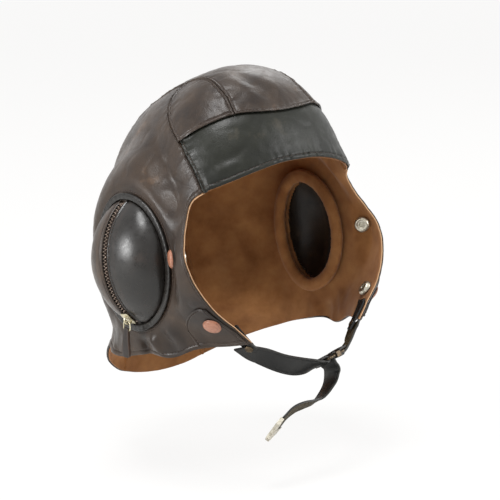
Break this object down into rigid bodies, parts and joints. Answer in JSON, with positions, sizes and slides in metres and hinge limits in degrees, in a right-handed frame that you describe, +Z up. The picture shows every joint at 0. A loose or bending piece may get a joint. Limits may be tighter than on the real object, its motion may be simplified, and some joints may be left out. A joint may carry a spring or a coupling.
{
  "type": "flying helmet",
  "caption": "Sewn leather flying helmet with chamois lining, zipped oval ear cups, mask snaps, rear strap tabs and a chin strap with a friction buckle.",
  "frame": {"origin": "midway between the two ear cups, where the wearer's head carries the helmet", "axes": "-Y the way the face looks, -X the wearer's right, +Z up, with the head tipped back as in the picture"},
  "size_m": [0.2526, 0.2333, 0.2852],
  "materials": {
    "helmet_leather": "aged semi-gloss goatskin, dark brown-black",
    "band_leather": "semi-gloss goatskin, greenish black",
    "chamois": "matt chamois lining, tan",
    "strap_leather": "smooth black strap leather, olive-brown reverse",
    "pull_leather": "matt dark brown leather",
    "zip_teeth": "bronzed brass teeth on cotton tape",
    "brass": "aged brass",
    "dark_bronze": "bronzed steel",
    "nickel": "satin nickel plate",
    "enamel": "russet enamel, semi-matt"
  },
  "bodies": {
    "helmet": {"brow_band": "band_leather", "brow_lining": "chamois", "crown_centre_strip": "helmet_leather", "crown_lining": "chamois", "chin_strap": "strap_leather", "buckle_strap": "strap_leather", "buckle_frame": "dark_bronze", "right_crown_panel": "helmet_leather", "right_crown_lining": "chamois", "right_side_panel": "helmet_leather", "right_side_lining": "chamois", "right_cheek_patch": "helmet_leather", "right_ear_cup_front": "band_leather", "right_ear_cup_rear": "helmet_leather", "right_ear_cup_welt": "helmet_leather", "right_ear_pad": "chamois", "right_zip_chain": "zip_teeth", "right_upper_snap_cap": "enamel", "right_lower_snap_cap": "enamel", "right_upper_snap_socket": "nickel", "right_lower_snap_socket": "nickel", "right_strap_root": "strap_leather", "right_strap_rivet": "dark_bronze", "right_goggle_tab_stud": "nickel", "left_crown_panel": "helmet_leather", "left_crown_lining": "chamois", "left_side_panel": "helmet_leather", "left_side_lining": "chamois", "left_cheek_patch": "helmet_leather", "left_ear_cup_front": "band_leather", "left_ear_cup_rear": "helmet_leather", "left_ear_cup_welt": "helmet_leather", "left_ear_pad": "chamois", "left_zip_chain": "zip_teeth", "left_upper_snap_cap": "enamel", "left_lower_snap_cap": "enamel", "left_upper_snap_socket": "nickel", "left_lower_snap_socket": "nickel", "left_strap_root": "strap_leather", "left_strap_rivet": "dark_bronze", "left_goggle_tab_stud": "nickel", "nape_lead_tab_stud": "nickel"},
    "right_slider": {"right_zip_slider": "brass"},
    "right_ring": {"right_pull_ring": "brass"},
    "right_pull": {"right_pull_tab": "pull_leather"},
    "left_slider": {"left_zip_slider": "brass"},
    "left_ring": {"left_pull_ring": "brass"},
    "left_pull": {"left_pull_tab": "pull_leather"},
    "sliding_bar": {"buckle_roller": "dark_bronze"},
    "strap_end": {"strap_tail": "strap_leather", "strap_tip": "nickel"},
    "right_goggle_tab": {"right_goggle_tab": "strap_leather", "right_goggle_tab_cap": "enamel"},
    "left_goggle_tab": {"left_goggle_tab": "strap_leather", "left_goggle_tab_cap": "enamel"},
    "nape_lead_tab": {"nape_lead_tab": "strap_leather", "nape_lead_tab_cap": "enamel"}
  },
  "joints": [
    {"name": "right_zip_travel", "type": "hinge", "parent": "helmet", "child": "right_slider", "pos_m": [-0.06766, 0.008, 0], "axis": [0, 0.9848, -0.1736], "range_deg": [0, 93.5]},
    {"name": "right_ring_swing", "type": "hinge", "parent": "right_slider", "child": "right_ring", "pos_m": [-0.11066, 0.00002, -0.04526], "axis": [0, 1, 0], "range_deg": [-6, 90]},
    {"name": "right_pull_swing", "type": "hinge", "parent": "right_ring", "child": "right_pull", "pos_m": [-0.11066, 0.00002, -0.05246], "axis": [0, 1, 0], "range_deg": [-6, 30]},
    {"name": "left_zip_travel", "type": "hinge", "parent": "helmet", "child": "left_slider", "pos_m": [0.06766, 0.008, 0], "axis": [0, -0.9848, 0.1736], "range_deg": [0, 93.5]},
    {"name": "left_ring_swing", "type": "hinge", "parent": "left_slider", "child": "left_ring", "pos_m": [0.11066, 0.00002, -0.04526], "axis": [0, -1, 0], "range_deg": [-6, 90]},
    {"name": "left_pull_swing", "type": "hinge", "parent": "left_ring", "child": "left_pull", "pos_m": [0.11066, 0.00002, -0.05246], "axis": [0, -1, 0], "range_deg": [-6, 30]},
    {"name": "buckle_adjust", "type": "slide", "parent": "helmet", "child": "sliding_bar", "axis": [0.9773, 0.0633, 0.2021], "range_m": [-0.002, 0.002]},
    {"name": "strap_end_swing", "type": "hinge", "parent": "sliding_bar", "child": "strap_end", "pos_m": [0.01952, -0.09516, -0.07925], "axis": [-0.0382, -0.8861, 0.4619], "range_deg": [-8, 40]},
    {"name": "right_goggle_tab_open", "type": "hinge", "parent": "helmet", "child": "right_goggle_tab", "pos_m": [-0.0225, 0.1157, 0.0331], "axis": [0.9538, 0.3004, 0], "range_deg": [0, 110]},
    {"name": "left_goggle_tab_open", "type": "hinge", "parent": "helmet", "child": "left_goggle_tab", "pos_m": [0.0225, 0.1157, 0.0331], "axis": [0.9538, -0.3004, 0], "range_deg": [0, 110]},
    {"name": "nape_lead_tab_open", "type": "hinge", "parent": "helmet", "child": "nape_lead_tab", "pos_m": [0, 0.1075, -0.0266], "axis": [1, 0, 0], "range_deg": [0, 110]}
  ]
}
